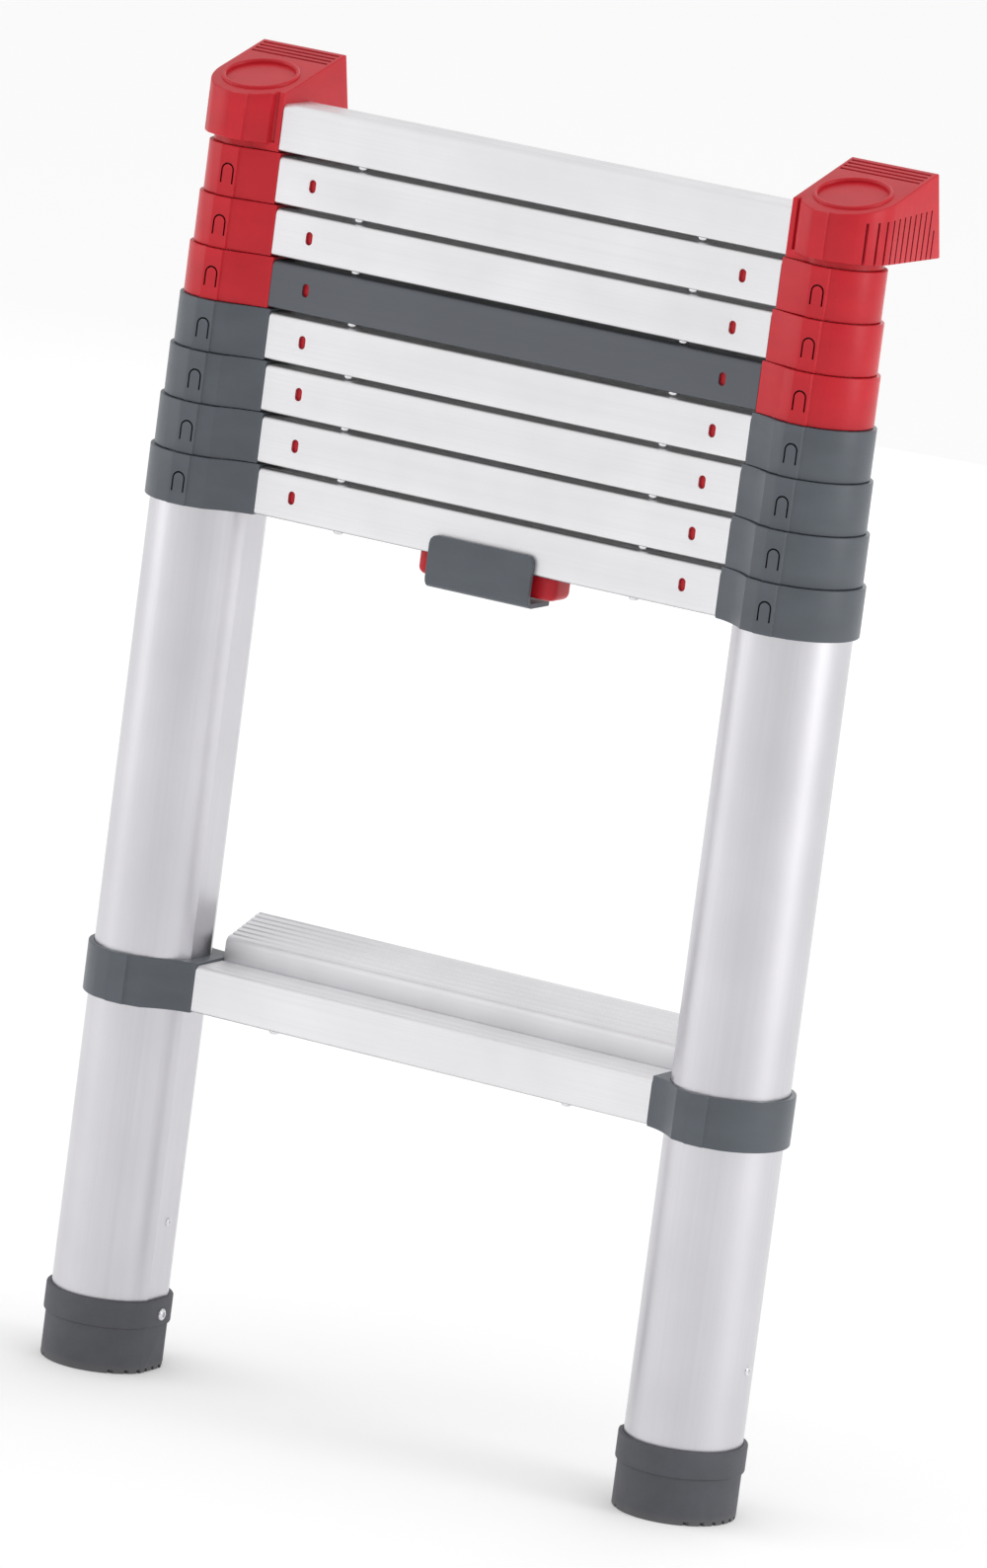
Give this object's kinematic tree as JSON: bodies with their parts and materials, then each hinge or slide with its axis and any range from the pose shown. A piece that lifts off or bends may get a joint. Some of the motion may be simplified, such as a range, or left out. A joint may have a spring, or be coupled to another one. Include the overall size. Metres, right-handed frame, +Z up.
{
  "type": "telescoping ladder",
  "caption": "Closed telescoping ladder with stacked hollow rungs, stepped collars, nested oval stile tubes, end caps with wall faces, a deep bottom step and rubber feet.",
  "frame": {"origin": "on the ground, under the middle of the closed ladder's width and depth", "axes": "+X along the rungs towards the right stile, +Y to the wall side, +Z up the stiles"},
  "size_m": [0.4596, 0.1002, 0.7769],
  "materials": {
    "satin_aluminium": "satin brushed",
    "anthracite_aluminium": "satin anodised",
    "red_plastic": "satin moulded",
    "grey_plastic": "satin moulded",
    "grey_rubber": "matte moulded"
  },
  "bodies": {
    "section_8": {"stile_tube_8_left": "satin_aluminium", "stile_tube_8_right": "satin_aluminium", "collar_8_left": "grey_plastic", "collar_8_right": "grey_plastic", "mid_collar_left": "grey_plastic", "mid_collar_right": "grey_plastic", "foot_left": "grey_rubber", "foot_right": "grey_rubber", "rung_8": "satin_aluminium", "rung_9": "satin_aluminium", "rear_tread": "satin_aluminium", "release_guard": "grey_plastic"},
    "section_7": {"stile_tube_7_left": "satin_aluminium", "stile_tube_7_right": "satin_aluminium", "rung_7": "satin_aluminium", "collar_7_left": "grey_plastic", "collar_7_right": "grey_plastic"},
    "section_6": {"stile_tube_6_left": "satin_aluminium", "stile_tube_6_right": "satin_aluminium", "rung_6": "satin_aluminium", "collar_6_left": "grey_plastic", "collar_6_right": "grey_plastic"},
    "section_5": {"stile_tube_5_left": "satin_aluminium", "stile_tube_5_right": "satin_aluminium", "rung_5": "satin_aluminium", "collar_5_left": "grey_plastic", "collar_5_right": "grey_plastic"},
    "section_4": {"stile_tube_4_left": "satin_aluminium", "stile_tube_4_right": "satin_aluminium", "rung_4": "anthracite_aluminium", "collar_4_left": "red_plastic", "collar_4_right": "red_plastic"},
    "section_3": {"stile_tube_3_left": "satin_aluminium", "stile_tube_3_right": "satin_aluminium", "rung_3": "satin_aluminium", "collar_3_left": "red_plastic", "collar_3_right": "red_plastic"},
    "section_2": {"stile_tube_2_left": "satin_aluminium", "stile_tube_2_right": "satin_aluminium", "rung_2": "satin_aluminium", "collar_2_left": "red_plastic", "collar_2_right": "red_plastic"},
    "section_1": {"stile_tube_1_left": "satin_aluminium", "stile_tube_1_right": "satin_aluminium", "rung_1": "satin_aluminium", "end_cap_left": "red_plastic", "end_cap_right": "red_plastic"},
    "release": {"release_block": "red_plastic"},
    "bolt_3_left": {"lock_bolt_3_left": "red_plastic"},
    "bolt_3_right": {"lock_bolt_3_right": "red_plastic"},
    "bolt_4_left": {"lock_bolt_4_left": "red_plastic"},
    "bolt_4_right": {"lock_bolt_4_right": "red_plastic"},
    "bolt_5_left": {"lock_bolt_5_left": "red_plastic"},
    "bolt_5_right": {"lock_bolt_5_right": "red_plastic"},
    "bolt_6_left": {"lock_bolt_6_left": "red_plastic"},
    "bolt_6_right": {"lock_bolt_6_right": "red_plastic"},
    "bolt_7_left": {"lock_bolt_7_left": "red_plastic"},
    "bolt_7_right": {"lock_bolt_7_right": "red_plastic"},
    "bolt_8_left": {"lock_bolt_8_left": "red_plastic"},
    "bolt_8_right": {"lock_bolt_8_right": "red_plastic"}
  },
  "joints": [
    {"name": "section_7_slide", "type": "slide", "parent": "section_8", "child": "section_7", "axis": [0, 0, 1], "range_m": [0, 0.2651]},
    {"name": "section_6_slide", "type": "slide", "parent": "section_7", "child": "section_6", "axis": [0, 0, 1], "range_m": [0, 0.2651]},
    {"name": "section_5_slide", "type": "slide", "parent": "section_6", "child": "section_5", "axis": [0, 0, 1], "range_m": [0, 0.2651]},
    {"name": "section_4_slide", "type": "slide", "parent": "section_5", "child": "section_4", "axis": [0, 0, 1], "range_m": [0, 0.2651]},
    {"name": "section_3_slide", "type": "slide", "parent": "section_4", "child": "section_3", "axis": [0, 0, 1], "range_m": [0, 0.2651]},
    {"name": "section_2_slide", "type": "slide", "parent": "section_3", "child": "section_2", "axis": [0, 0, 1], "range_m": [0, 0.2651]},
    {"name": "section_1_slide", "type": "slide", "parent": "section_2", "child": "section_1", "axis": [0, 0, 1], "range_m": [0, 0.2651]},
    {"name": "release_slide", "type": "slide", "parent": "section_8", "child": "release", "axis": [0, 1, 0], "range_m": [0, 0.005], "stiffness_N_per_m": 400, "springref_m": -0.002},
    {"name": "bolt_8_left_slide", "type": "slide", "parent": "section_8", "child": "bolt_8_left", "axis": [1, 0, 0], "range_m": [0, 0.004], "stiffness_N_per_m": 400, "springref_m": -0.002},
    {"name": "bolt_8_right_slide", "type": "slide", "parent": "section_8", "child": "bolt_8_right", "axis": [-1, 0, 0], "range_m": [0, 0.004], "stiffness_N_per_m": 400, "springref_m": -0.002},
    {"name": "bolt_7_left_slide", "type": "slide", "parent": "section_7", "child": "bolt_7_left", "axis": [1, 0, 0], "range_m": [0, 0.004], "stiffness_N_per_m": 400, "springref_m": -0.002},
    {"name": "bolt_7_right_slide", "type": "slide", "parent": "section_7", "child": "bolt_7_right", "axis": [-1, 0, 0], "range_m": [0, 0.004], "stiffness_N_per_m": 400, "springref_m": -0.002},
    {"name": "bolt_6_left_slide", "type": "slide", "parent": "section_6", "child": "bolt_6_left", "axis": [1, 0, 0], "range_m": [0, 0.004], "stiffness_N_per_m": 400, "springref_m": -0.002},
    {"name": "bolt_6_right_slide", "type": "slide", "parent": "section_6", "child": "bolt_6_right", "axis": [-1, 0, 0], "range_m": [0, 0.004], "stiffness_N_per_m": 400, "springref_m": -0.002},
    {"name": "bolt_5_left_slide", "type": "slide", "parent": "section_5", "child": "bolt_5_left", "axis": [1, 0, 0], "range_m": [0, 0.004], "stiffness_N_per_m": 400, "springref_m": -0.002},
    {"name": "bolt_5_right_slide", "type": "slide", "parent": "section_5", "child": "bolt_5_right", "axis": [-1, 0, 0], "range_m": [0, 0.004], "stiffness_N_per_m": 400, "springref_m": -0.002},
    {"name": "bolt_4_left_slide", "type": "slide", "parent": "section_4", "child": "bolt_4_left", "axis": [1, 0, 0], "range_m": [0, 0.004], "stiffness_N_per_m": 400, "springref_m": -0.002},
    {"name": "bolt_4_right_slide", "type": "slide", "parent": "section_4", "child": "bolt_4_right", "axis": [-1, 0, 0], "range_m": [0, 0.004], "stiffness_N_per_m": 400, "springref_m": -0.002},
    {"name": "bolt_3_left_slide", "type": "slide", "parent": "section_3", "child": "bolt_3_left", "axis": [1, 0, 0], "range_m": [0, 0.004], "stiffness_N_per_m": 400, "springref_m": -0.002},
    {"name": "bolt_3_right_slide", "type": "slide", "parent": "section_3", "child": "bolt_3_right", "axis": [-1, 0, 0], "range_m": [0, 0.004], "stiffness_N_per_m": 400, "springref_m": -0.002}
  ],
  "couplings": [
    {"joint": "bolt_8_left_slide", "follows": "release_slide", "ratio": 0.8},
    {"joint": "bolt_8_right_slide", "follows": "release_slide", "ratio": 0.8},
    {"joint": "bolt_7_right_slide", "follows": "bolt_7_left_slide", "ratio": 1},
    {"joint": "bolt_6_right_slide", "follows": "bolt_6_left_slide", "ratio": 1},
    {"joint": "bolt_5_right_slide", "follows": "bolt_5_left_slide", "ratio": 1},
    {"joint": "bolt_4_right_slide", "follows": "bolt_4_left_slide", "ratio": 1},
    {"joint": "bolt_3_right_slide", "follows": "bolt_3_left_slide", "ratio": 1}
  ]
}
